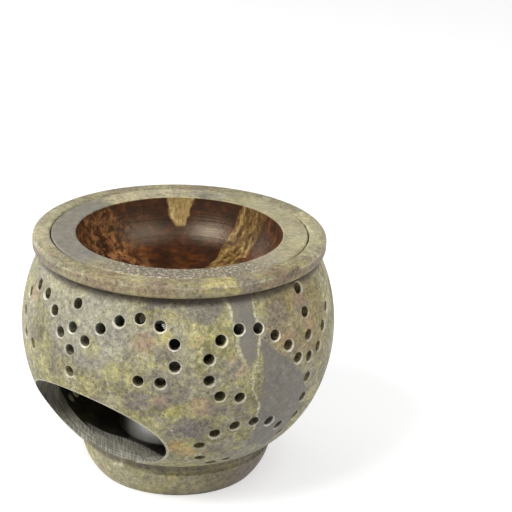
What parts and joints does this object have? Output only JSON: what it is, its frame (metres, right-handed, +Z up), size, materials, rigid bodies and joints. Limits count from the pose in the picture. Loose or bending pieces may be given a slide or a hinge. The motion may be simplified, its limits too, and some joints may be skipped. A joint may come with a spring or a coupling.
{
  "type": "essential oil burner",
  "caption": "Round turned soapstone oil burner: a pot pierced with dotted scrolls and an oval tealight opening, a loose oil dish flush in its collar, a tealight and a loose steel incense sieve.",
  "frame": {"origin": "centre of the foot's underside, on the table", "axes": "+Z up along the pot's turning axis, -Y out of the tealight opening"},
  "size_m": [0.1503, 0.1593, 0.08],
  "materials": {
    "pot_stone": "honed, waxed, mottled olive and grey",
    "dish_stone": "polished brown bowl with golden veins, honed grey rim",
    "cup_aluminium": "bright drawn foil",
    "wax": "white paraffin",
    "wick_cotton": "waxed braided cotton",
    "tinned_steel": "tinned",
    "sieve_steel": "satin stamped sheet",
    "mesh_steel": "fine plain weave of wire"
  },
  "bodies": {
    "burner": {"burner_body": "pot_stone"},
    "dish": {"oil_dish": "dish_stone"},
    "tealight": {"tealight_cup": "cup_aluminium", "tealight_wax": "wax", "tealight_wick": "wick_cotton", "wick_sustainer": "tinned_steel"},
    "sieve": {"sieve_ring": "sieve_steel", "sieve_mesh": "mesh_steel"}
  },
  "joints": [
    {"name": "dish_lift", "type": "slide", "parent": "burner", "child": "dish", "axis": [0, 0, 1], "range_m": [0, 0.04]},
    {"name": "tealight_draw", "type": "slide", "parent": "burner", "child": "tealight", "axis": [0, -0.9816, 0.1908], "range_m": [0, 0.08]},
    {"name": "sieve_lift", "type": "slide", "parent": "burner", "child": "sieve", "axis": [0, 0, 1], "range_m": [0, 0.09]}
  ]
}
